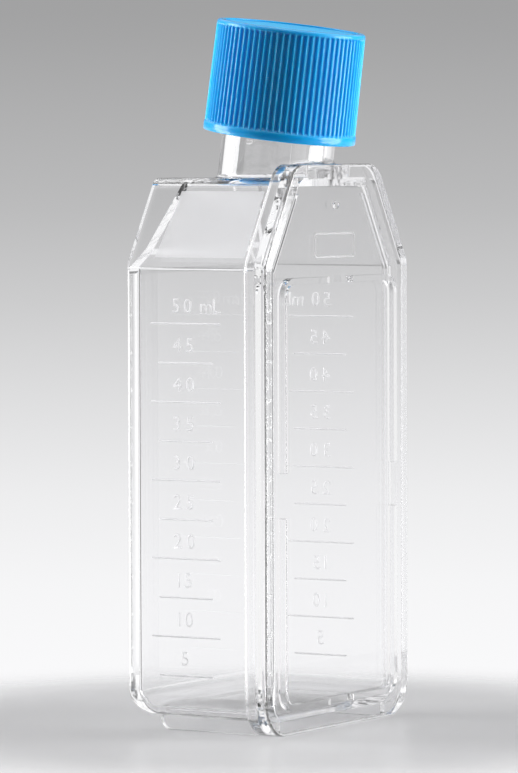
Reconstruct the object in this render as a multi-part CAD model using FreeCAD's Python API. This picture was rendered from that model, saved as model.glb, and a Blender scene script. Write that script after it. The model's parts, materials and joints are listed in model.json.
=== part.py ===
import FreeCAD, Part
import math
import os
from FreeCAD import Placement, Rotation, Vector

# Culture flask with a canted neck, standing on its end. X runs from the growth wall to the
# welded top plate, Y across the flask and Z up its length. While the pieces are made, x = 0 is
# the weld plane between tray and plate and z = 0 the plane that the flask stands on.
# All sizes are in millimetres.

# Welded flange, the largest outline of the flask
flange_width = 43.0
flange_height = 85.75
flange_top_width = 24.8
shoulder_height = 70.8
flange_overhang = 2.05
flange_corner = 5.5
flange_shoulder_round = 2.6
flange_top_round = 4.0
flange_edge_round = 0.45
least_round = 0.3

# Tray: side walls, end walls and growth wall in one moulding with the neck
wall = 1.3
tray_depth = 23.85
tray_flange_thickness = 1.95
heel_round = 4.0
tray_edge_round = 0.6
chamber_edge_round = 1.0

# Ramp from the growth wall to the neck, seen along Y as a bent wall
ramp_start_height = 69.6
ramp_bend_height = 72.6
ramp_bend_depth = 2.0
ramp_end_depth = 5.2
ramp_bend_round = 2.5

# Two rails under the lower end wall, which stand level with the flange
rail_thickness = 1.3
rail_offset = 16.4
rail_length = 19.8
rail_round = 1.7
rail_root = 1.0

# Canted neck
neck_cant = 7.8
neck_base_depth = 9.3
neck_radius = 8.7
neck_wall = 1.5
neck_length = 20.8
neck_rim_chamfer = 0.3
neck_root_round = 0.6

# Top plate
plate_rim_thickness = 1.95
plate_rim_width = 2.3
panel_recess = 0.6
locating_rib_width = 1.0
locating_rib_height = 0.9
locating_clearance = 0.15
gate_radius = 0.6
gate_height = 0.4
gate_distance = 6.2

# Stacking ribs on the plate: a rounded frame with a gap in the middle of each side
stack_rib_width = 0.95
stack_rib_height = 1.15
stack_frame_width = 34.1
stack_frame_bottom = 3.7
stack_frame_top = 68.7
stack_frame_round = 3.0
stack_side_gap = 6.8
stack_end_gap = 7.0

# Screw cap
cap_height = 17.0
cap_radius = 11.62
cap_draft = 0.7
cap_top_thickness = 1.4
cap_top_chamfer = 0.4
cap_band_height = 1.3
cap_band_step = 0.1
cap_band_chamfer = 0.14
cap_top_band = 0.25
cap_grip_count = 78
cap_grip_depth = 0.32
cap_grip_crest = 0.28
cap_grip_valley = 0.42
cap_grip_sink = 0.04
cap_top_rim = 1.2
cap_top_recess = 0.25
thread_height = 0.75
thread_clearance = 0.3
cap_mouth_chamfer = 0.5

# Sealing disc between the neck's rim and the cap
disc_thickness = 1.0
disc_clearance = 0.15
seat_gap = 0.03

# Two places closer than this are the same, and edges closer than touching meet
same_place = 1e-6
touching = 0.01

# Worked out from the sizes above
half_width = flange_width / 2
half_top = flange_top_width / 2
slope = (half_width - half_top) / (flange_height - shoulder_height)
tray_half_width = half_width - flange_overhang
tray_base = flange_overhang
tray_top = flange_height - flange_overhang
side_round = flange_corner - flange_overhang
above = flange_height + 2 * neck_length
far = 2 * tray_depth
cap_bore_radius = neck_radius + thread_height + thread_clearance
cap_ceiling = cap_height - cap_top_thickness
neck_in_cap = cap_ceiling - disc_thickness - 2 * seat_gap
cap_start = neck_length - neck_in_cap
cap_top_start = cap_height - cap_top_chamfer - cap_top_band
panel_height = plate_rim_thickness - panel_recess
cant = math.radians(neck_cant)


def yz(x):
    return lambda across, up: Vector(x, across, up)


def xz(y):
    return lambda depth, up: Vector(depth, y, up)


def unit(start, end):
    length = math.hypot(end[0] - start[0], end[1] - start[1])
    return ((end[0] - start[0]) / length, (end[1] - start[1]) / length)


def inset_polygon(points, distance):
    """Each side of an anticlockwise polygon, moved inwards by distance."""
    moved = []
    for i, here in enumerate(points):
        before = points[i - 1]
        after = points[(i + 1) % len(points)]
        into = unit(before, here)
        out = unit(here, after)
        turn = 1 + into[0] * out[0] + into[1] * out[1]
        moved.append((
            here[0] - distance * (into[1] + out[1]) / turn,
            here[1] + distance * (into[0] + out[0]) / turn,
        ))
    return moved


def rounded_face(points, radii, place):
    """A flat face with each corner rounded by its own radius, or sharp where that is 0."""
    corners = []
    for i, here in enumerate(points):
        into = unit(points[i - 1], here)
        out = unit(here, points[(i + 1) % len(points)])
        half_turn = math.acos(max(-1, min(1, into[0] * out[0] + into[1] * out[1]))) / 2
        reach = radii[i] * math.tan(half_turn)
        start = (here[0] - into[0] * reach, here[1] - into[1] * reach)
        end = (here[0] + out[0] * reach, here[1] + out[1] * reach)
        if radii[i] > 0:
            inwards = unit((0, 0), (out[0] - into[0], out[1] - into[1]))
            sag = radii[i] / math.cos(half_turn) - radii[i]
            middle = (here[0] + inwards[0] * sag, here[1] + inwards[1] * sag)
            corners.append((start, middle, end))
        else:
            corners.append((here, None, here))
    edges = []
    for i, (start, middle, end) in enumerate(corners):
        if middle:
            edges.append(Part.Arc(place(*start), place(*middle), place(*end)).toShape())
        following = corners[(i + 1) % len(corners)][0]
        edges.append(Part.LineSegment(place(*end), place(*following)).toShape())
    return Part.Face(Part.Wire(edges))


def outline(inset, place, top=flange_height, bottom=0.0):
    """The flask's six-sided outline, inset from the flange, with rounded corners."""
    top_half = half_width - slope * (top - shoulder_height)
    points = [
        (half_width, bottom), (half_width, shoulder_height), (top_half, top),
        (-top_half, top), (-half_width, shoulder_height), (-half_width, bottom),
    ]
    corner = max(flange_corner - inset, least_round)
    shoulder = max(flange_shoulder_round - inset, least_round)
    ends = max(flange_top_round - inset, least_round)
    radii = [corner, shoulder, ends, ends, shoulder, corner]
    return rounded_face(inset_polygon(points, inset), radii, place)


def outline_block(inset, back, front):
    return outline(inset, yz(back)).extrude(Vector(front - back, 0, 0))


def open_ended_outline(inset):
    """The same outline carried on below the flask, to trim its shoulders and sides alone."""
    return outline(inset, yz(-far), bottom=-above).extrude(Vector(2 * far, 0, 0))


def edges_at_depth(shape, depth):
    return [e for e in shape.Edges if all(abs(v.X - depth) < same_place for v in e.Vertexes)]


def rings_above(shape, height):
    return [e for e in shape.Edges if e.isClosed() and e.BoundBox.ZMin > height]


def fillet_by_radius(shape, chosen):
    """Fillets groups of edges with different radii that meet at shared corners."""
    document = FreeCAD.newDocument("fillets")
    base = document.addObject("Part::Feature", "base")
    base.Shape = shape
    fillet = document.addObject("Part::Fillet", "fillet")
    fillet.Base = base
    fillet.Edges = [(index, radius, radius) for index, radius in chosen]
    document.recompute()
    result = fillet.Shape.copy()
    FreeCAD.closeDocument(document.Name)
    return result


def box_with_heel(inset, front, edge_round):
    """A box to the growth wall with rounded lower edges, taller than the flask."""
    back = -(tray_depth - inset)
    side = tray_half_width - inset
    floor = tray_base + inset
    box = Part.makeBox(front - back, 2 * side, above - floor, Vector(back, -side, floor))
    chosen = []
    for index, edge in enumerate(box.Edges, 1):
        ends = edge.Vertexes
        along_y = abs(ends[0].Y - ends[1].Y) > side
        at_back = all(abs(v.X - back) < same_place for v in ends)
        at_floor = all(abs(v.Z - floor) < same_place for v in ends)
        if at_back and at_floor:
            chosen.append((index, heel_round - inset))
        elif at_back and not along_y:
            chosen.append((index, edge_round))
        elif at_floor and not along_y:
            chosen.append((index, side_round - inset))
    return fillet_by_radius(box, chosen)


def ramp_wedge(inset):
    """The space behind the ramp, whose face is set into the flask by inset."""
    back = -tray_depth
    bend = (back + ramp_bend_depth, ramp_bend_height)
    end = (back + ramp_end_depth, tray_top)
    start = (back, ramp_start_height)
    low = unit(start, bend)
    high = unit(bend, end)
    first = (start[0] - low[0] * far, start[1] - low[1] * far)
    last = (end[0] + high[0] * far, end[1] + high[1] * far)
    face = [first, bend, last]
    behind = [(first[0] - far, last[1]), (first[0] - far, first[1])]
    moved = inset_polygon(face + behind, -inset)
    side_face = rounded_face(moved, [0, ramp_bend_round, 0, 0, 0], xz(-half_width))
    return side_face.extrude(Vector(0, flange_width, 0))


def on_neck(shape):
    """Moves a shape modelled on the Z axis to the neck's axis, with z = 0 at the end wall."""
    placed = shape.copy()
    base = Vector(-neck_base_depth, 0, tray_top)
    placed.Placement = Placement(base, Rotation(Vector(0, 1, 0), neck_cant))
    return placed


def neck_root(shape):
    """The edges where the neck's outside meets the end wall and the flange."""
    base = Vector(-neck_base_depth, 0, tray_top)
    line = Part.Line(base, base.add(Vector(math.sin(cant), 0, math.cos(cant))))
    found = []
    for edge in shape.Edges:
        start, end = edge.ParameterRange
        places = [edge.valueAt(start + (end - start) * share) for share in (0, 0.5, 1)]
        reaches = [place.sub(line.value(line.parameter(place))).Length for place in places]
        low = edge.BoundBox.ZMax < tray_top + neck_length / 2
        if low and all(abs(reach - neck_radius) < touching for reach in reaches):
            found.append(edge)
    return found


def rails():
    back = -rail_length
    front = -tray_flange_thickness / 2
    up = tray_base + rail_root
    points = [(back, 0), (front, 0), (front, up), (back, up)]
    pair = []
    for side in (-rail_offset, rail_offset - rail_thickness):
        profile = rounded_face(points, [rail_round, 0, 0, 0], xz(side))
        pair.append(profile.extrude(Vector(0, rail_thickness, 0)))
    return pair


def flask_tray():
    body = box_with_heel(0, 0, tray_edge_round).common(open_ended_outline(flange_overhang))
    flange = outline_block(0, -tray_flange_thickness, 0)
    flange = flange.makeFillet(flange_edge_round, edges_at_depth(flange, -tray_flange_thickness))
    neck = Part.makeCylinder(neck_radius, neck_length + wall, Vector(0, 0, -wall))
    neck = on_neck(neck.makeChamfer(neck_rim_chamfer, rings_above(neck, neck_length / 2)))
    solid = body.fuse([flange, neck]).removeSplitter()
    solid = solid.makeFillet(neck_root_round, neck_root(solid))
    solid = solid.fuse(rails()).removeSplitter()

    inside = flange_overhang + wall
    chamber = box_with_heel(wall, wall, chamber_edge_round).common(open_ended_outline(inside))
    chamber = chamber.cut(ramp_wedge(wall))
    hollow = ramp_wedge(0).common(outline_block(inside, -far, 0))
    bore_start = Vector(0, 0, -3 * wall)
    bore = on_neck(Part.makeCylinder(neck_radius - neck_wall, neck_length + 4 * wall, bore_start))
    return solid.cut(chamber).cut(hollow).cut(bore).removeSplitter()


def stacking_ribs():
    """Four corner pieces of a rounded frame, rooted inside the panel."""
    half = stack_frame_width / 2
    low, high = stack_frame_bottom, stack_frame_top
    root = yz(panel_height / 2)
    points = [(half, low), (half, high), (-half, high), (-half, low)]
    outer = rounded_face(points, [stack_frame_round] * 4, root)
    inner_round = stack_frame_round - stack_rib_width
    inner = rounded_face(inset_polygon(points, stack_rib_width), [inner_round] * 4, root)
    frame = outer.cut(inner).extrude(Vector(stack_rib_height + panel_height / 2, 0, 0))
    gap_bottom = (low + high - stack_side_gap) / 2
    side_gap_at = Vector(0, -half_width, gap_bottom)
    side_gap = Part.makeBox(far, flange_width, stack_side_gap, side_gap_at)
    end_gap = Part.makeBox(far, stack_end_gap, flange_height, Vector(0, -stack_end_gap / 2, 0))
    return frame.cut(side_gap).cut(end_gap)


def top_plate():
    plate = outline_block(0, 0, plate_rim_thickness)
    plate = plate.makeFillet(flange_edge_round, edges_at_depth(plate, plate_rim_thickness))
    recess = outline_block(plate_rim_width, panel_height, 2 * plate_rim_thickness)
    mouth = flange_overhang + wall + locating_clearance
    locating = outline_block(mouth, -locating_rib_height, panel_height / 2).cut(
        outline_block(mouth + locating_rib_width, -2 * locating_rib_height, 0))
    gate_at = Vector(panel_height / 2, 0, flange_height - gate_distance)
    gate_length = panel_height / 2 + gate_height
    gate = Part.makeCylinder(gate_radius, gate_length, gate_at, Vector(1, 0, 0))
    return plate.cut(recess).fuse([locating, stacking_ribs(), gate]).removeSplitter()


def grip_section(crest_radius, height):
    """The ribbed grip's outline: narrow crests just inside the plain bands, and flat valleys."""
    points = []
    step = 2 * math.pi / cap_grip_count
    root = crest_radius - cap_grip_depth
    crest = cap_grip_crest / crest_radius / 2
    foot = (step - cap_grip_valley / root) / 2
    rib = [(root, -foot), (crest_radius, -crest), (crest_radius, crest), (root, foot)]
    for i in range(cap_grip_count):
        for radius, offset in rib:
            angle = i * step + offset
            points.append(Vector(radius * math.cos(angle), radius * math.sin(angle), height))
    return Part.makePolygon(points + points[:1])


def taper(height):
    return cap_radius - height * math.tan(math.radians(cap_draft))


def screw_cap():
    grip_low = cap_band_height / 2
    grip_high = cap_top_start + cap_top_band / 2
    grip = Part.makeLoft([
        grip_section(taper(grip_low) - cap_grip_sink, grip_low),
        grip_section(taper(grip_high) - cap_grip_sink, grip_high),
    ], True, True)
    band = Part.makeCylinder(cap_radius + cap_band_step, cap_band_height)
    band = band.makeChamfer(cap_band_chamfer, rings_above(band, -same_place))
    top_height = cap_height - cap_top_start
    top_at = Vector(0, 0, cap_top_start)
    top = Part.makeCone(taper(cap_top_start), taper(cap_height), top_height, top_at)
    top = top.makeChamfer(cap_top_chamfer, rings_above(top, cap_top_start + top_height / 2))
    dish_at = Vector(0, 0, cap_height - cap_top_recess)
    dish = Part.makeCylinder(taper(cap_height) - cap_top_rim, 2 * cap_top_recess, dish_at)
    bore = Part.makeCylinder(cap_bore_radius, 2 * cap_ceiling, Vector(0, 0, -cap_ceiling))
    mouth_radius = cap_bore_radius + 2 * cap_mouth_chamfer
    mouth_at = Vector(0, 0, -cap_mouth_chamfer)
    mouth = Part.makeCone(mouth_radius, cap_bore_radius, 2 * cap_mouth_chamfer, mouth_at)
    cap = grip.fuse([band, top]).cut(dish).cut(bore).cut(mouth)
    return on_neck(lifted(cap, cap_start))


def cap_seal():
    disc = Part.makeCylinder(cap_bore_radius - disc_clearance, disc_thickness)
    return on_neck(lifted(disc, neck_length + seat_gap))


def lifted(shape, height):
    raised = shape.copy()
    raised.translate(Vector(0, 0, height))
    return raised.removeSplitter()


def origin_shift():
    """Brings the origin to the bottom centre of the whole flask's bounding box."""
    edge_height = cap_height - cap_top_chamfer
    reach = taper(edge_height) * math.cos(cant)
    front = -neck_base_depth + (cap_start + edge_height) * math.sin(cant) + reach
    return Vector((tray_depth - front) / 2, 0, 0)


pieces = {
    "flask_tray": flask_tray(),
    "top_plate": top_plate(),
    "screw_cap": screw_cap(),
    "cap_seal": cap_seal(),
}
os.makedirs("parts", exist_ok=True)
for name, shape in pieces.items():
    whole = Part.Shape(shape)
    whole.Placement = Placement(origin_shift(), Rotation()).multiply(whole.Placement)
    whole.exportStep("parts/" + name + ".step")
    print(name, whole.isValid(), len(whole.Solids), round(whole.Volume, 1), len(whole.Faces))
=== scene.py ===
import json
import math

import bmesh
import bpy
from mathutils import Matrix, Vector


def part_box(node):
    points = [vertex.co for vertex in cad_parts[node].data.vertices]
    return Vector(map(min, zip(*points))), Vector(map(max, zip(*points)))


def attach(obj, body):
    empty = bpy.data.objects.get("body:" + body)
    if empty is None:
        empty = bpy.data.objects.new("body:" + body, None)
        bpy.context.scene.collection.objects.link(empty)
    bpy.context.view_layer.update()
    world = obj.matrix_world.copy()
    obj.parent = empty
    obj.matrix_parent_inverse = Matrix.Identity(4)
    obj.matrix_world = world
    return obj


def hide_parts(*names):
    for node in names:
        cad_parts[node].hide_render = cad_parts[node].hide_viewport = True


mm = 0.001
# distances in millimetres below which points, cuts and planes count as one
closeness = {"joined": 0.0003, "merged": 0.001, "cut": 0.0005, "weld": 0.002, "shoulder": 0.02}
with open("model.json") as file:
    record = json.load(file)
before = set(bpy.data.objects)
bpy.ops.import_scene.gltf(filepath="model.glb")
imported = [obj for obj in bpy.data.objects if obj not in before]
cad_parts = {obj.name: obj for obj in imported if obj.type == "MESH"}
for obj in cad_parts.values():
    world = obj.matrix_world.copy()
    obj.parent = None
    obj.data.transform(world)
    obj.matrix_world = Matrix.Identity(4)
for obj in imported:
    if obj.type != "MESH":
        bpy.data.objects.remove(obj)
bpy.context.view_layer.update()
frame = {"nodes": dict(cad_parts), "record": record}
scene = bpy.context.scene
print("frame loaded")


def addNode(tree, kind, inputs=None, **settings):
    node = tree.nodes.new(kind)
    for name, value in settings.items():
        setattr(node, name, value)
    for name, value in (inputs or {}).items():
        if isinstance(value, bpy.types.NodeSocket):
            tree.links.new(value, node.inputs[name])
        else:
            node.inputs[name].default_value = value
    return node


def mathNode(tree, operation, *values, clamp=False):
    node = addNode(tree, "ShaderNodeMath", dict(enumerate(values)), operation=operation, use_clamp=clamp)
    return node.outputs[0]


def vectorNode(tree, operation, *values):
    node = addNode(tree, "ShaderNodeVectorMath", dict(enumerate(values)), operation=operation)
    return node.outputs["Value" if operation in ("DOT_PRODUCT", "LENGTH") else "Vector"]


def axesNode(tree, x=0.0, y=0.0, z=0.0):
    return addNode(tree, "ShaderNodeCombineXYZ", {"X": x, "Y": y, "Z": z}).outputs[0]


# 0 at start, 1 at end, eased between
def easeNode(tree, value, start, end):
    return addNode(tree, "ShaderNodeMapRange", {"Value": value, "From Min": start, "From Max": end},
                   interpolation_type="SMOOTHSTEP").outputs["Result"]


def addObject(name, mesh):
    made = bpy.data.objects.new(name, mesh)
    scene.collection.objects.link(made)
    return made


# the object's mesh with its modifiers applied, and the object removed
def bakedMesh(made):
    graph = bpy.context.evaluated_depsgraph_get()
    mesh = bpy.data.meshes.new_from_object(made.evaluated_get(graph), depsgraph=graph)
    mesh.name = made.name
    bpy.data.objects.remove(made)
    return mesh


def newTree(name, inputs):
    tree = bpy.data.node_groups.new(name, "GeometryNodeTree")
    tree.interface.new_socket("Geometry", in_out="INPUT", socket_type="NodeSocketGeometry")
    for label, kind in inputs.items():
        tree.interface.new_socket(label, in_out="INPUT", socket_type="NodeSocket" + kind)
    tree.interface.new_socket("Material", in_out="INPUT", socket_type="NodeSocketMaterial")
    tree.interface.new_socket("Geometry", in_out="OUTPUT", socket_type="NodeSocketGeometry")
    return tree, addNode(tree, "NodeGroupInput").outputs


def endTree(tree, geometry, material):
    realized = addNode(tree, "GeometryNodeRealizeInstances", {"Geometry": geometry})
    painted = addNode(tree, "GeometryNodeSetMaterial",
                      {"Geometry": realized.outputs[0], "Material": material})
    addNode(tree, "NodeGroupOutput", {"Geometry": painted.outputs[0]})


def runTree(name, tree, values, mesh=None):
    carrier = addObject(name, mesh or bpy.data.meshes.new(name))
    modifier = carrier.modifiers.new(name, "NODES")
    modifier.node_group = tree
    for item in tree.interface.items_tree:
        if item.in_out == "INPUT" and item.name in values:
            modifier[item.identifier] = values[item.name]
    return bakedMesh(carrier)


# one mesh from (mesh, place, material index) rows, closed and facing outwards
def joinedMesh(name, parts, materials):
    work = bmesh.new()
    for mesh, place, index in parts:
        moved = mesh.copy()
        moved.transform(place)
        for face in moved.polygons:
            face.material_index = index
        work.from_mesh(moved)
        bpy.data.meshes.remove(moved)
    bmesh.ops.remove_doubles(work, verts=work.verts, dist=closeness["joined"] * mm)
    bmesh.ops.recalc_face_normals(work, faces=work.faces)
    openEdges = sum(not edge.is_manifold for edge in work.edges)
    mesh = bpy.data.meshes.new(name)
    for material in materials:
        mesh.materials.append(material)
    work.to_mesh(mesh)
    work.free()
    print(name, len(mesh.polygons), "faces,", openEdges, "open edges")
    return mesh


def unitedMesh(name, base, added):
    made = addObject(name, base)
    tool = addObject(added.name, added)
    joining = made.modifiers.new("joining", "BOOLEAN")
    joining.operation = "UNION"
    joining.solver = "MANIFOLD"
    joining.object = tool
    mesh = bakedMesh(made)
    bpy.data.objects.remove(tool)
    shares = [sum(face.material_index == i for face in mesh.polygons) for i in range(len(mesh.materials))]
    print(name, "united,", len(mesh.polygons), "faces by material", shares)
    return mesh


flaskBody = {
    # sizes of the solids that the dressing is placed by, in millimetres
    "trayDepth": 23.85, "flangeOverhang": 2.05,
}

# places read from the frame
joints = {joint["name"]: joint for joint in frame["record"]["behaviour"]["joints"]}
neckBase = Vector(joints["cap_turn"]["pos_m"])
neckAxis = Vector(joints["cap_turn"]["axis"]).normalized()
acrossNeck = Vector((0, 1, 0)).cross(neckAxis)
neckPlace = Matrix((acrossNeck, (0, 1, 0), neckAxis)).transposed().to_4x4()
neckPlace.translation = neckBase
trayLow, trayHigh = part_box("flask_tray")
plateLow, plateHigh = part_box("top_plate")
weldPlane = trayLow.x + flaskBody["trayDepth"] * mm
sideWall = trayHigh.y - flaskBody["flangeOverhang"] * mm
print("neck base", neckBase, "axis", neckAxis)


grainForm = {
    # fineness of the speckle and of the wide shade against the grain, and the shade's usual range
    "speckle": 2.3, "wide": 0.12, "fineDetail": 3.0, "wideDetail": 2.0, "darkest": 0.3, "lightest": 0.7,
}
refraction = {"polystyrene": 1.59, "polyethylene": 1.51}


# fine unevenness of a moulded surface: Height for a bump, Shade about 0.5
def mouldedGrainGroup():
    tree = bpy.data.node_groups.new("mouldedGrain", "ShaderNodeTree")
    for label, value in (("Scale", 900.0), ("Speckle", 0.5)):
        socket = tree.interface.new_socket(label, in_out="INPUT", socket_type="NodeSocketFloat")
        socket.default_value = value
    for label in ("Height", "Shade"):
        tree.interface.new_socket(label, in_out="OUTPUT", socket_type="NodeSocketFloat")
    given = addNode(tree, "NodeGroupInput").outputs
    place = addNode(tree, "ShaderNodeTexCoord").outputs["Object"]
    fine = addNode(tree, "ShaderNodeTexNoise", {
        "Vector": place, "Scale": given["Scale"], "Detail": grainForm["fineDetail"]})
    speckle = addNode(tree, "ShaderNodeTexVoronoi", {
        "Vector": place, "Scale": mathNode(tree, "MULTIPLY", given["Scale"], grainForm["speckle"])})
    spots = mathNode(tree, "MULTIPLY", speckle.outputs["Distance"], given["Speckle"])
    height = mathNode(tree, "ADD", fine.outputs["Fac"], spots)
    wide = addNode(tree, "ShaderNodeTexNoise", {
        "Vector": place, "Scale": mathNode(tree, "MULTIPLY", given["Scale"], grainForm["wide"]),
        "Detail": grainForm["wideDetail"]})
    addNode(tree, "NodeGroupOutput", {"Height": height, "Shade": wide.outputs["Fac"]})
    return tree


mouldedGrain = mouldedGrainGroup()


def newMaterial(name):
    material = bpy.data.materials.new(name)
    material.use_nodes = True
    material.node_tree.nodes.clear()
    return material, material.node_tree


def addGrain(tree, scale, speckle):
    group = addNode(tree, "ShaderNodeGroup", node_tree=mouldedGrain)
    group.inputs["Scale"].default_value = scale
    group.inputs["Speckle"].default_value = speckle
    return group.outputs


def clearPlastic(name, look):
    material, tree = newMaterial(name)
    if look["grain"]:
        height = addGrain(tree, look["grain"], look["speckle"])["Height"]
    else:
        place = addNode(tree, "ShaderNodeTexCoord").outputs["Object"]
        height = addNode(tree, "ShaderNodeTexNoise", {
            "Vector": place, "Scale": look["ripple"], "Detail": 0.0}).outputs["Fac"]
    bump = addNode(tree, "ShaderNodeBump", {
        "Height": height, "Strength": look["bump"], "Distance": look["depth"] * mm})
    path = addNode(tree, "ShaderNodeLightPath")
    shade = mathNode(tree, "MULTIPLY", path.outputs["Is Shadow Ray"], look["lampShare"])
    shader = addNode(tree, "ShaderNodeBsdfPrincipled", {
        "Base Color": look["tint"], "Roughness": look["roughness"], "IOR": refraction["polystyrene"],
        "Transmission Weight": 1.0, "Alpha": mathNode(tree, "SUBTRACT", 1.0, shade),
        "Normal": bump.outputs[0]})
    addNode(tree, "ShaderNodeOutputMaterial", {"Surface": shader.outputs[0]})
    return material


def mouldedPlastic(name, look):
    material, tree = newMaterial(name)
    grain = addGrain(tree, look["grain"], look["speckle"])
    colour = addNode(tree, "ShaderNodeMix", {
        "Factor": grain["Shade"], "A": look["deep"], "B": look["pale"]}, data_type="RGBA")
    rough = addNode(tree, "ShaderNodeMapRange", {
        "Value": grain["Shade"], "From Min": grainForm["darkest"], "From Max": grainForm["lightest"],
        "To Min": look["roughness"] - look["spread"],
        "To Max": look["roughness"] + look["spread"]}).outputs["Result"]
    bump = addNode(tree, "ShaderNodeBump", {
        "Height": grain["Height"], "Strength": look["bump"], "Distance": look["depth"] * mm})
    shader = addNode(tree, "ShaderNodeBsdfPrincipled", {
        "Base Color": colour.outputs["Result"], "Roughness": rough, "IOR": refraction["polyethylene"],
        "Normal": bump.outputs[0], "Specular IOR Level": look["gloss"], "Subsurface Weight": look["glow"],
        "Subsurface Radius": look["glowReach"], "Subsurface Scale": mm})
    addNode(tree, "ShaderNodeOutputMaterial", {"Surface": shader.outputs[0]})
    return material


clear = clearPlastic("clearPolystyrene", {
    "tint": (0.981, 0.981, 0.985, 1), "roughness": 0.015, "grain": 0, "ripple": 110.0, "bump": 0.02,
    "depth": 0.2, "lampShare": 0.75})
frosted = clearPlastic("frostedPolystyrene", {
    "tint": (0.957, 0.957, 0.975, 1), "roughness": 0.36, "grain": 5200.0, "speckle": 0.6, "bump": 0.35,
    "depth": 0.03, "lampShare": 0.6})
blueLook = {
    "deep": (0.002, 0.365, 0.76, 1), "pale": (0.004, 0.395, 0.80, 1), "roughness": 0.2, "spread": 0.03,
    "grain": 2600.0, "speckle": 0.0, "bump": 0.12, "depth": 0.02, "gloss": 0.36, "glow": 0.7,
    "glowReach": (0.25, 1.0, 1.0)}
blue = mouldedPlastic("bluePolyethylene", blueLook)
matteBlue = mouldedPlastic("bluePolyethyleneMatte", {
    **blueLook, "roughness": 0.5, "spread": 0.04, "grain": 5200.0, "speckle": 0.5, "bump": 0.3,
    "gloss": 0.25})
foam = mouldedPlastic("foamLiner", {
    "deep": (0.62, 0.62, 0.58, 1), "pale": (0.84, 0.84, 0.80, 1), "roughness": 0.85, "spread": 0.08,
    "grain": 3400.0, "speckle": 1.4, "bump": 0.9, "depth": 0.10, "gloss": 0.5, "glow": 0.0,
    "glowReach": (1.0, 1.0, 1.0)})
print("materials made")


# faces that turn less than this many degrees are one flat face
flatWithin = 0.2


def mergedCopy(name, node, *materials):
    work = bmesh.new()
    work.from_mesh(frame["nodes"][node].data)
    bmesh.ops.remove_doubles(work, verts=work.verts, dist=closeness["merged"] * mm)
    bmesh.ops.dissolve_degenerate(work, edges=work.edges, dist=closeness["cut"] * mm)
    bmesh.ops.dissolve_limit(work, angle_limit=math.radians(flatWithin), verts=work.verts,
                             edges=work.edges)
    openEdges = sum(not edge.is_manifold for edge in work.edges)
    print(name, len(work.verts), "points,", len(work.faces), "faces,", openEdges, "open edges")
    points = [tuple(v.co) for v in work.verts]
    faces = [[v.index for v in f.verts] for f in work.faces]
    work.free()
    mesh = bpy.data.meshes.new(name)
    mesh.from_pydata(points, [], faces)
    for material in materials:
        mesh.materials.append(material)
    return mesh


frost = {
    # roughened writing panel on one shoulder, in millimetres:
    # up the slope from its foot, across from the weld
    "foot": (-19.45, 70.226), "slope": (0.52, 0.8543), "low": 1.8, "high": 13.45,
    "right": -3.5, "leftLow": -19.3, "leftHigh": -18.2,
}


# cuts the panel's outline into the shoulder's face and gives the panel its own material
def frostPanel(mesh):
    foot = Vector((weldPlane, frost["foot"][0] * mm, frost["foot"][1] * mm))
    rise = Vector((0, *frost["slope"])).normalized()
    across = Vector((1, 0, 0))
    outward = rise.cross(across)
    corner = foot + rise * frost["low"] * mm + across * frost["leftLow"] * mm
    lean = rise * (frost["high"] - frost["low"]) + across * (frost["leftHigh"] - frost["leftLow"])
    lean.normalize()
    sides = [
        (foot + rise * frost["low"] * mm, rise),
        (foot + rise * frost["high"] * mm, -rise),
        (foot + across * frost["right"] * mm, -across),
        (corner, outward.cross(lean)),
    ]
    work = bmesh.new()
    work.from_mesh(mesh)

    def shoulderFaces():
        reach = closeness["shoulder"] * mm
        return [f for f in work.faces if all(abs((v.co - foot).dot(outward)) < reach for v in f.verts)]

    for place, inward in sides:
        faces = shoulderFaces()
        edges = {e for f in faces for e in f.edges}
        points = {v for f in faces for v in f.verts}
        bmesh.ops.bisect_plane(work, geom=faces + list(edges) + list(points),
                               dist=closeness["cut"] * mm, plane_co=place, plane_no=inward)
    panel = [f for f in shoulderFaces()
             if all((f.calc_center_median() - place).dot(inward) > 0 for place, inward in sides)]
    for f in panel:
        f.material_index = 1
    print("frosted panel", len(panel), "faces", round(sum(f.calc_area() for f in panel) * 1e6, 1), "mm2")
    work.to_mesh(mesh)
    work.free()


def finishedPiece(name, mesh, node, body, sharp=28):
    mesh.shade_smooth()
    mesh.set_sharp_from_angle(angle=math.radians(sharp))
    draft = addObject(name + "Draft", mesh)
    weighted = draft.modifiers.new("normals", "WEIGHTED_NORMAL")
    weighted.keep_sharp = True
    piece = addObject(name, bakedMesh(draft))
    piece.data.name = name
    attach(piece, body)
    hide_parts(node)
    return piece


marks = {
    # raised scale on both narrow walls, in millimetres; depths count from the weld
    "count": 10, "first": 8.63, "spacing": 5.915, "middle": -13.32, "long": 12.2, "short": 9.5,
    "bead": 0.16, "beadSides": 10, "sunk": 0.07, "lift": 1.6, "size": 3.14, "narrow": 0.97,
    "extrude": 0.02, "bevel": 0.09, "inset": -0.08,
    "starts": {-1: -15.47, 1: -11.42}, "digits": (0.0, 2.3), "afterOne": (0.75, 1.9), "single": 1.25,
    "unit": (("5", -0.1), ("0", 1.92), ("m", 4.76), ("L", 7.06)),
}


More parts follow.
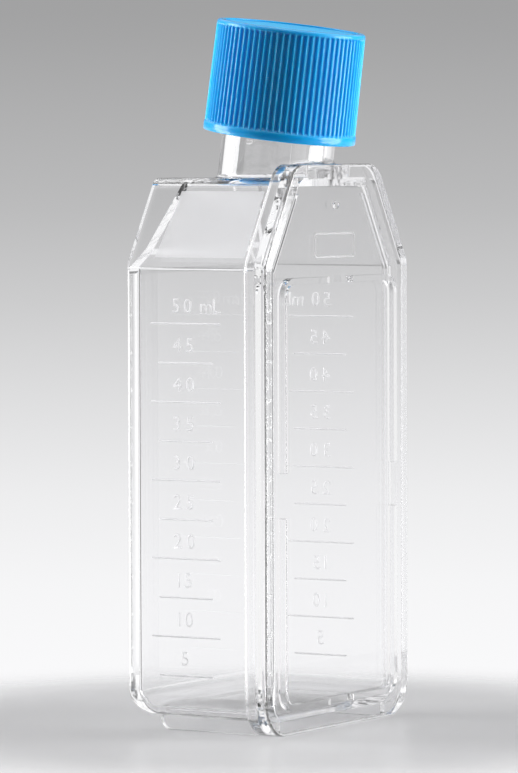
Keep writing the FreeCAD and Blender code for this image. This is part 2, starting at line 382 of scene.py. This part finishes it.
def graduationTree():
    tree, given = newTree("graduations", {
        "Count": "Int", "First": "Float", "Spacing": "Float", "Long": "Float", "Short": "Float",
        "Bead": "Float"})
    rows = addNode(tree, "GeometryNodeMeshLine", {
        "Count": given["Count"], "Start Location": axesNode(tree, z=given["First"]),
        "Offset": axesNode(tree, z=given["Spacing"])})
    everySecond = mathNode(tree, "MODULO", addNode(tree, "GeometryNodeInputIndex").outputs[0], 2.0)
    longer = mathNode(tree, "SUBTRACT", given["Long"], given["Short"])
    length = mathNode(tree, "MULTIPLY_ADD", everySecond, longer, given["Short"])
    stroke = addNode(tree, "GeometryNodeCurvePrimitiveLine", {"Start": (-0.5, 0, 0), "End": (0.5, 0, 0)})
    ring = addNode(tree, "GeometryNodeCurvePrimitiveCircle", {
        "Resolution": marks["beadSides"], "Radius": given["Bead"]})
    bead = addNode(tree, "GeometryNodeCurveToMesh", {
        "Curve": stroke.outputs[0], "Profile Curve": ring.outputs[0], "Fill Caps": True})
    lines = addNode(tree, "GeometryNodeInstanceOnPoints", {
        "Points": rows.outputs[0], "Instance": bead.outputs[0], "Scale": axesNode(tree, length, 1.0, 1.0)})
    endTree(tree, lines.outputs[0], given["Material"])
    return tree


def glyphMesh(letter):
    data = bpy.data.curves.new("mark" + letter, "FONT")
    data.body = letter
    data.size = marks["size"]
    data.extrude = marks["extrude"]
    data.bevel_depth = marks["bevel"]
    data.bevel_resolution = 2
    data.offset = marks["inset"]
    data.resolution_u = 3
    return bakedMesh(addObject(data.name, data))


def markRow(value):
    if value == 50:
        return marks["unit"]
    if value < 10:
        return ((str(value), marks["single"]),)
    offsets = marks["afterOne"] if value < 20 else marks["digits"]
    return tuple(zip(str(value), offsets))


def markParts():
    lines = runTree("graduationLines", graduationTree(), {
        "Count": marks["count"], "First": marks["first"] * mm, "Spacing": marks["spacing"] * mm,
        "Long": marks["long"] * mm, "Short": marks["short"] * mm, "Bead": marks["bead"] * mm,
        "Material": clear})
    glyphs = {letter: glyphMesh(letter) for letter in "012345mL"}
    parts = []
    for side in (-1, 1):
        middle = weldPlane + marks["middle"] * mm
        depth = side * (sideWall - marks["sunk"] * mm)
        parts.append((lines, Matrix.Translation((middle, depth, 0)), 1))
        turned = Matrix(((-side, 0, 0), (0, 0, 1), (0, side, 0))).transposed().to_4x4()
        for row in range(marks["count"]):
            level = (marks["first"] + row * marks["spacing"] + marks["lift"]) * mm
            for letter, offset in markRow(5 * (row + 1)):
                mesh = glyphs[letter]
                inkStart = min(v.co.x for v in mesh.vertices)
                start = weldPlane + (marks["starts"][side] - side * offset) * mm
                place = Matrix.Translation((start, side * sideWall, level)) @ turned
                place = place @ Matrix.Diagonal((marks["narrow"] * mm, mm, mm, 1))
                parts.append((mesh, place @ Matrix.Translation((-inkStart, 0, 0)), 1))
    return parts


thread = {
    # rounded screw thread, in millimetres: depths along the neck from its foot
    "pitch": 3.2, "neckRadius": 8.7, "neckBead": 0.75, "neckStart": 11.3, "neckTurns": 2.3,
    "capRadius": 9.75, "capBead": 0.78, "capStart": 9.7, "capTurns": 2.3, "taper": 0.07, "capSeat": 6.26,
    "stepsPerTurn": 60, "beadSides": 12, "thinnest": 0.15,
}


def threadTree():
    tree, given = newTree("screwThread", {
        "Turns": "Float", "Pitch": "Float", "Radius": "Float", "Bead": "Float", "Start": "Float",
        "Taper": "Float"})
    rise = mathNode(tree, "MULTIPLY", given["Turns"], given["Pitch"])
    spiral = addNode(tree, "GeometryNodeCurveSpiral", {
        "Resolution": thread["stepsPerTurn"], "Rotations": given["Turns"], "Start Radius": given["Radius"],
        "End Radius": given["Radius"], "Height": rise, "Reverse": True})
    share = addNode(tree, "GeometryNodeSplineParameter").outputs["Factor"]
    nearEnd = mathNode(tree, "MINIMUM", share, mathNode(tree, "SUBTRACT", 1.0, share))
    size = mathNode(tree, "DIVIDE", nearEnd, given["Taper"], clamp=True)
    size = mathNode(tree, "MAXIMUM", size, thread["thinnest"])
    ring = addNode(tree, "GeometryNodeCurvePrimitiveCircle", {
        "Resolution": thread["beadSides"], "Radius": given["Bead"]})
    bead = addNode(tree, "GeometryNodeCurveToMesh", {
        "Curve": spiral.outputs[0], "Profile Curve": ring.outputs[0], "Scale": size, "Fill Caps": True})
    raised = addNode(tree, "GeometryNodeTransform", {
        "Geometry": bead.outputs[0], "Translation": axesNode(tree, z=given["Start"])})
    endTree(tree, raised.outputs[0], given["Material"])
    return tree


screwThread = threadTree()


def threadMesh(kind, start, material):
    return runTree(kind + "Thread", screwThread, {
        "Turns": thread[kind + "Turns"], "Pitch": thread["pitch"] * mm,
        "Radius": thread[kind + "Radius"] * mm, "Bead": thread[kind + "Bead"] * mm,
        "Start": start * mm, "Taper": thread["taper"], "Material": material})


label = {
    # raised frame of the bare name field on the plate's shoulder, in millimetres
    "width": 11.7, "height": 3.5, "level": 73.45, "round": 0.35, "roundSteps": 4, "bead": 0.17,
    "beadSides": 10, "depth": 1.27,
}


def labelTree():
    tree, given = newTree("labelFrame", {"Width": "Float", "Height": "Float", "Round": "Float",
                                         "Bead": "Float"})
    outline = addNode(tree, "GeometryNodeCurvePrimitiveQuadrilateral", {
        "Width": given["Width"], "Height": given["Height"]})
    eased = addNode(tree, "GeometryNodeFilletCurve", {
        "Curve": outline.outputs[0], "Radius": given["Round"], "Count": label["roundSteps"]}, mode="POLY")
    ring = addNode(tree, "GeometryNodeCurvePrimitiveCircle", {
        "Resolution": label["beadSides"], "Radius": given["Bead"]})
    bead = addNode(tree, "GeometryNodeCurveToMesh", {
        "Curve": eased.outputs[0], "Profile Curve": ring.outputs[0]})
    endTree(tree, bead.outputs[0], given["Material"])
    return tree


def labelPart():
    mesh = runTree("labelFrame", labelTree(), {
        "Width": label["width"] * mm, "Height": label["height"] * mm, "Round": label["round"] * mm,
        "Bead": label["bead"] * mm, "Material": clear})
    place = Matrix(((0, 1, 0), (0, 0, 1), (1, 0, 0))).transposed().to_4x4()
    place.translation = (weldPlane + label["depth"] * mm, 0, label["level"] * mm)
    return mesh, place, 1


# hairline between the two welded mouldings, in millimetres
weldGap = 0.03


def partFromWeld(mesh, way):
    for v in mesh.vertices:
        if abs(v.co.x - weldPlane) < closeness["weld"] * mm:
            v.co.x += way * (weldGap * mm / 2)


tray = mergedCopy("flaskTray", "flask_tray", clear, frosted)
partFromWeld(tray, -1)
plate = mergedCopy("topPlate", "top_plate", clear, frosted)
partFromWeld(plate, 1)
frostPanel(tray)
trayExtras = markParts()
trayExtras.append((threadMesh("neck", thread["neckStart"], clear), neckPlace, 0))
tray = unitedMesh("flaskTray", tray, joinedMesh("trayExtras", trayExtras, (clear, frosted)))
plate = unitedMesh("topPlate", plate, joinedMesh("plateExtras", [labelPart()], (clear, frosted)))
finishedPiece("flaskTray", tray, "flask_tray", "flask")
finishedPiece("topPlate", plate, "top_plate", "flask")
print("clear pieces made")

cap = {
    # screw cap in its own frame, in millimetres from its mouth
    "ribs": 78, "columnsPerRib": 12, "draft": 0.7, "bandHeight": 1.3, "bandStep": 0.1, "bandChamfer": 0.14,
    "gripEnd": 0.55, "gripDepth": 0.34, "gripNarrowing": 2.2, "gripFade": 0.4, "inside": 0.03,
    "topRound": 0.5, "dishRadius": 10.21, "dishDepth": 0.25, "dishRound": 0.08,
    "bore": 9.75, "ceiling": 15.6, "ceilingRound": 0.1, "mouthChamfer": 0.5,
    "below": 0.01, "bandEase": 0.06, "skin": 0.6, "dishZone": 0.3, "sharp": 72,
    # rows of points: up from each end of the grip, between them, and as shares of a radius or height
    "gripEnds": (0.02, 0.1, 0.2, 0.3, 0.42, 0.55, 0.75), "gripRows": 8,
    "dishRings": (0.6, 0.25, 0.0), "ceilingRings": (0.0, 0.3, 0.7), "boreRings": (0.66, 0.33),
}


def roundCorner(centre, radius, start, end, steps=4):
    for i in range(steps + 1):
        turn = math.radians(start + (end - start) * i / steps)
        yield centre[0] + radius * math.cos(turn), centre[1] + radius * math.sin(turn)


def capSize():
    toCap = neckPlace.inverted()
    points = [toCap @ v.co for v in frame["nodes"]["screw_cap"].data.vertices]
    low = min(p.z for p in points)
    high = max(p.z for p in points)
    reach = max(math.hypot(p.x, p.y) for p in points)
    return low, (high - low) / mm, reach / mm


def capProfile(height, reach):
    reach -= cap["inside"]
    height -= cap["below"]
    grip = reach - cap["bandStep"]
    lean = math.tan(math.radians(cap["draft"]))
    chamfer = cap["bandChamfer"]
    band = cap["bandHeight"]
    gripTop = height - cap["gripEnd"]
    ease = cap["bandEase"]
    points = [(cap["bore"] + cap["mouthChamfer"], 0.0), (reach - chamfer, 0.0), (reach, chamfer),
              (reach, band - ease), (reach - ease, band)]
    ends = cap["gripEnds"]
    last, rows = ends[-1], cap["gripRows"]
    levels = [band + e for e in ends]
    levels += [band + last + (gripTop - band - 2 * last) * i / rows for i in range(1, rows)]
    levels += [gripTop - e for e in reversed(ends)]
    points += [(grip - z * lean, z) for z in levels]
    top = grip - gripTop * lean
    edge = cap["topRound"]
    points += list(roundCorner((top - edge, height - edge), edge, 0, 90, 5))
    dish, depth, small = cap["dishRadius"], cap["dishDepth"], cap["dishRound"]
    points += list(roundCorner((dish + small, height - small), small, 90, 180, 2))
    points += list(roundCorner((dish - small, height - depth + small), small, 0, -90, 2))
    points += [(dish * share, height - depth) for share in cap["dishRings"]]
    bore, ceiling, hollow = cap["bore"], cap["ceiling"], cap["ceilingRound"]
    points += [(bore * share, ceiling) for share in cap["ceilingRings"]]
    points += list(roundCorner((bore - hollow, ceiling - hollow), hollow, 90, 0, 3))
    points += [(bore, ceiling * share) for share in cap["boreRings"]]
    points.append((bore, cap["mouthChamfer"]))
    return points


def revolvedMesh(name, profile, columns):
    work = bmesh.new()
    rings = []
    for radius, level in profile:
        if radius == 0:
            rings.append([work.verts.new((0, 0, level * mm))])
            continue
        turns = [2 * math.pi * i / columns for i in range(columns)]
        rings.append([work.verts.new((radius * mm * math.cos(t), radius * mm * math.sin(t), level * mm))
                      for t in turns])
    for ring, following in zip(rings, rings[1:] + rings[:1]):
        if len(ring) == 1 and len(following) == 1:
            continue
        for i in range(columns):
            near, far = i, (i + 1) % columns
            if len(ring) == 1:
                work.faces.new((ring[0], following[far], following[near]))
            elif len(following) == 1:
                work.faces.new((ring[near], ring[far], following[0]))
            else:
                work.faces.new((ring[near], ring[far], following[far], following[near]))
    bmesh.ops.recalc_face_normals(work, faces=work.faces)
    mesh = bpy.data.meshes.new(name)
    work.to_mesh(mesh)
    work.free()
    return mesh


def gripTree():
    tree, given = newTree("capGrip", {
        "Ribs": "Float", "Depth": "Float", "Narrowing": "Float", "Low": "Float", "High": "Float",
        "Fade": "Float", "Skin": "Float"})
    place = addNode(tree, "GeometryNodeInputPosition").outputs[0]
    parts = addNode(tree, "ShaderNodeSeparateXYZ", {0: place}).outputs
    outward = axesNode(tree, parts["X"], parts["Y"])
    reach = vectorNode(tree, "LENGTH", outward)
    angle = mathNode(tree, "ARCTAN2", parts["Y"], parts["X"])
    wave = mathNode(tree, "COSINE", mathNode(tree, "MULTIPLY", angle, given["Ribs"]))
    crest = mathNode(tree, "MULTIPLY_ADD", wave, 0.5, 0.5)
    crest = mathNode(tree, "POWER", crest, given["Narrowing"])
    lower = easeNode(tree, parts["Z"], given["Low"], mathNode(tree, "ADD", given["Low"], given["Fade"]))
    upper = easeNode(tree, parts["Z"], given["High"],
                     mathNode(tree, "SUBTRACT", given["High"], given["Fade"]))
    sink = mathNode(tree, "MULTIPLY", mathNode(tree, "SUBTRACT", 1.0, crest), given["Depth"])
    sink = mathNode(tree, "MULTIPLY", mathNode(tree, "MULTIPLY", sink, lower), upper)
    inward = vectorNode(tree, "SCALE", vectorNode(tree, "NORMALIZE", outward))
    tree.links.new(mathNode(tree, "MULTIPLY", sink, -1.0), inward.node.inputs["Scale"])
    moved = addNode(tree, "GeometryNodeSetPosition", {
        "Geometry": given["Geometry"], "Offset": inward,
        "Selection": mathNode(tree, "GREATER_THAN", reach, given["Skin"])})
    endTree(tree, moved.outputs[0], given["Material"])
    return tree


def screwCap():
    low, height, reach = capSize()
    print("cap height", round(height, 3), "reach", round(reach, 3))
    shell = revolvedMesh("capShell", capProfile(height, reach), cap["ribs"] * cap["columnsPerRib"])
    shell = runTree("capShell", gripTree(), {
        "Ribs": float(cap["ribs"]), "Depth": cap["gripDepth"] * mm, "Narrowing": cap["gripNarrowing"],
        "Low": cap["bandHeight"] * mm, "High": (height - cap["gripEnd"]) * mm,
        "Fade": cap["gripFade"] * mm, "Skin": (reach - cap["skin"]) * mm, "Material": blue}, shell)
    bead = threadMesh("cap", thread["capStart"] - thread["capSeat"], blue)
    shell = unitedMesh("screwCap", shell, joinedMesh("capThread", [(bead, Matrix(), 0)], (blue,)))
    shell.materials.append(matteBlue)
    for face in shell.polygons:
        centre = face.center / mm
        inDish = math.hypot(centre.x, centre.y) < cap["dishRadius"]
        if inDish and centre.z > height - cap["dishZone"]:
            face.material_index = len(shell.materials) - 1
    shell.transform(neckPlace @ Matrix.Translation((0, 0, low)))
    finishedPiece("screwCap", shell, "screw_cap", "cap", cap["sharp"])


screwCap()
print("cap made")

frame["nodes"]["cap_seal"].material_slots[0].material = foam

camera = {
    # place and clips in metres, angles in degrees, lens and sensor in millimetres
    "place": (0.396316, -0.66028, 0.08863), "azimuth": 31.152, "pitch": 2.747, "roll": 0.186,
    "lens": 234.2, "sensor": 36, "nearest": 0.01, "farthest": 10,
}

studio = {
    # floor in metres, opaque to floorFull and gone at floorEdge of its radius
    "floorRadius": 0.105, "floorFull": 0.04, "floorEdge": 0.9, "floorSides": 96, "floorLevel": -0.0002,
    "floorColour": (0.54, 0.54, 0.55, 1), "floorRoughness": 0.3, "floorGloss": 0.2,
    # world: light on rough surfaces, and what glossy ones mirror from the front, where 1 is all of it
    "ambient": 0.12, "frontGloss": 0.15, "front": (-0.9, -0.5), "coolness": 1.01,
    # sines of the elevation from which clear walls show the surround, and its soft edge in degrees
    "surroundFrom": (-0.15, -0.1), "surroundEdge": 1,
    "lampAim": 0.05,
}


def floorPiece():
    mesh = bpy.data.meshes.new("floor")
    work = bmesh.new()
    bmesh.ops.create_circle(work, cap_ends=True, segments=studio["floorSides"],
                            radius=studio["floorRadius"],
                            matrix=Matrix.Translation((0, 0, studio["floorLevel"])))
    work.to_mesh(mesh)
    work.free()
    material, tree = newMaterial("paleFloor")
    place = addNode(tree, "ShaderNodeTexCoord").outputs["Object"]
    reach = vectorNode(tree, "LENGTH", place)
    fade = addNode(tree, "ShaderNodeMapRange", {
        "Value": reach, "From Min": studio["floorFull"],
        "From Max": studio["floorRadius"] * studio["floorEdge"],
        "To Min": 1.0, "To Max": 0.0}, interpolation_type="SMOOTHERSTEP").outputs["Result"]
    shader = addNode(tree, "ShaderNodeBsdfPrincipled", {
        "Base Color": studio["floorColour"], "Roughness": studio["floorRoughness"],
        "Specular IOR Level": studio["floorGloss"], "Alpha": fade})
    addNode(tree, "ShaderNodeOutputMaterial", {"Surface": shader.outputs[0]})
    mesh.materials.append(material)
    addObject("floor", mesh)


floorPiece()

# sine of the elevation, grey level
sky = [(-0.113, 0.965), (-0.0876, 0.92), (-0.0686, 0.847), (-0.0497, 0.73), (-0.0307, 0.604),
       (-0.0117, 0.497), (0.0073, 0.429), (0.0244, 0.366), (0.10, 0.28), (0.28, 0.3), (0.45, 1.0),
       (1.0, 1.0)]

# upright bands that only clear walls show, in degrees: angle from the camera's direction,
# half width, grey, where 1 is white
surround = [(118.5, 4, 0.92), (-63, 4, 0.92), (108, 8, 1.4), (129, 8, 1.4), (-50, 10, 1.4),
            (-73, 7.5, 1.4), (-141, 13, 1.2), (80, 12, 0.08), (-92, 12, 0.08)]


def studioWorld():
    world = bpy.data.worlds.new("studio")
    scene.world = world
    world.use_nodes = True
    tree = world.node_tree
    tree.nodes.clear()
    way = addNode(tree, "ShaderNodeTexCoord").outputs["Generated"]
    height = addNode(tree, "ShaderNodeSeparateXYZ", {0: way}).outputs["Z"]
    share = addNode(tree, "ShaderNodeMapRange", {
        "Value": height, "From Min": sky[0][0], "From Max": sky[-1][0]}).outputs["Result"]
    ramp = addNode(tree, "ShaderNodeValToRGB", {"Fac": share})
    spots = ramp.color_ramp.elements
    span = sky[-1][0] - sky[0][0]
    for index, (level, grey) in enumerate(sky):
        if index < 2:
            spot = spots[index]
            spot.position = (level - sky[0][0]) / span
        else:
            spot = spots.new((level - sky[0][0]) / span)
        spot.color = (grey, grey, grey * studio["coolness"], 1)
    path = addNode(tree, "ShaderNodeLightPath").outputs
    colour = ramp.outputs["Color"]
    level = vectorNode(tree, "NORMALIZE", vectorNode(tree, "MULTIPLY", way, (1, 1, 0)))
    nearLevel = easeNode(tree, height, *studio["surroundFrom"])
    throughGlass = mathNode(tree, "MULTIPLY", path["Is Transmission Ray"], nearLevel)
    edge = studio["surroundEdge"]
    for angle, half, grey in surround:
        turn = math.radians(camera["azimuth"] + angle - 90)
        facing = vectorNode(tree, "DOT_PRODUCT", level, (math.cos(turn), math.sin(turn), 0))
        inside = easeNode(tree, facing, math.cos(math.radians(half + edge)),
                          math.cos(math.radians(half - edge)))
        inside = mathNode(tree, "MULTIPLY", inside, throughGlass)
        colour = addNode(tree, "ShaderNodeMix", {"Factor": inside, "A": colour, "B": (grey, grey, grey, 1)},
                         data_type="RGBA").outputs["Result"]
    seen = mathNode(tree, "MAXIMUM", path["Is Camera Ray"], path["Is Glossy Ray"])
    seen = mathNode(tree, "MAXIMUM", seen, path["Is Transmission Ray"])
    plain = addNode(tree, "ShaderNodeBackground", {"Color": (1, 1, 1, 1), "Strength": studio["ambient"]})
    turn = math.radians(camera["azimuth"])
    ahead = vectorNode(tree, "DOT_PRODUCT", way, (-math.sin(turn), math.cos(turn), 0))
    behind = easeNode(tree, ahead, *studio["front"])
    reflected = mathNode(tree, "SUBTRACT", path["Is Glossy Ray"], path["Is Transmission Ray"], clamp=True)
    darker = mathNode(tree, "MULTIPLY", mathNode(tree, "SUBTRACT", 1.0, behind), reflected)
    strength = mathNode(tree, "MULTIPLY_ADD", darker, studio["frontGloss"] - 1.0, 1.0)
    shown = addNode(tree, "ShaderNodeBackground", {"Color": colour, "Strength": strength})
    mixed = addNode(tree, "ShaderNodeMixShader", {0: seen, 1: plain.outputs[0], 2: shown.outputs[0]})
    addNode(tree, "ShaderNodeOutputWorld", {"Surface": mixed.outputs[0]})


studioWorld()


def cameraPiece():
    data = bpy.data.cameras.new("camera")
    data.lens = camera["lens"]
    data.sensor_width = camera["sensor"]
    data.clip_start = camera["nearest"]
    data.clip_end = camera["farthest"]
    made = addObject("camera", data)
    turn, tilt, roll = (math.radians(camera[k]) for k in ("azimuth", "pitch", "roll"))
    ahead = Vector((-math.sin(turn) * math.cos(tilt), math.cos(turn) * math.cos(tilt), -math.sin(tilt)))
    right = Vector((math.cos(turn), math.sin(turn), 0))
    up = right.cross(ahead)
    up, right = (up * math.cos(roll) + right * math.sin(roll),
                 right * math.cos(roll) - up * math.sin(roll))
    made.matrix_world = Matrix((right, up, -ahead)).transposed().to_4x4()
    made.location = camera["place"]
    scene.camera = made


cameraPiece()

lamps = [
    # name, angle from the camera's direction (positive to the right), then in metres height,
    # distance, width and height of the panel, and its radiance
    ("leftSoftbox", -100, 0.10, 0.60, 0.34, 0.80, 8.3),
    ("rightSoftbox", 86, 0.10, 0.60, 0.42, 0.80, 7.5),
    ("topSoftbox", 0, 0.80, 0.02, 1.2, 1.2, 0.9),
]


def addLamp(name, angle, height, distance, wide, tall, radiance):
    data = bpy.data.lights.new(name, "AREA")
    data.shape = "RECTANGLE"
    data.size = wide
    data.size_y = tall
    data.energy = radiance * math.pi * wide * tall
    made = addObject(name, data)
    turn = math.radians(camera["azimuth"] + angle - 90)
    place = Vector((math.cos(turn) * distance, math.sin(turn) * distance, height))
    aim = Vector((0, 0, studio["lampAim"])) - place
    made.rotation_mode = "QUATERNION"
    made.rotation_quaternion = aim.to_track_quat("-Z", "Y")
    made.location = place
    made.visible_camera = False
    made.visible_transmission = False


for lamp in lamps:
    addLamp(*lamp)

scene.view_settings.view_transform = "Standard"
# light crosses the clear walls many times
wallCrossings = 32
for kind in ("max_bounces", "glossy_bounces", "transmission_bounces"):
    setattr(scene.cycles, kind, wallCrossings)
print("scene done")
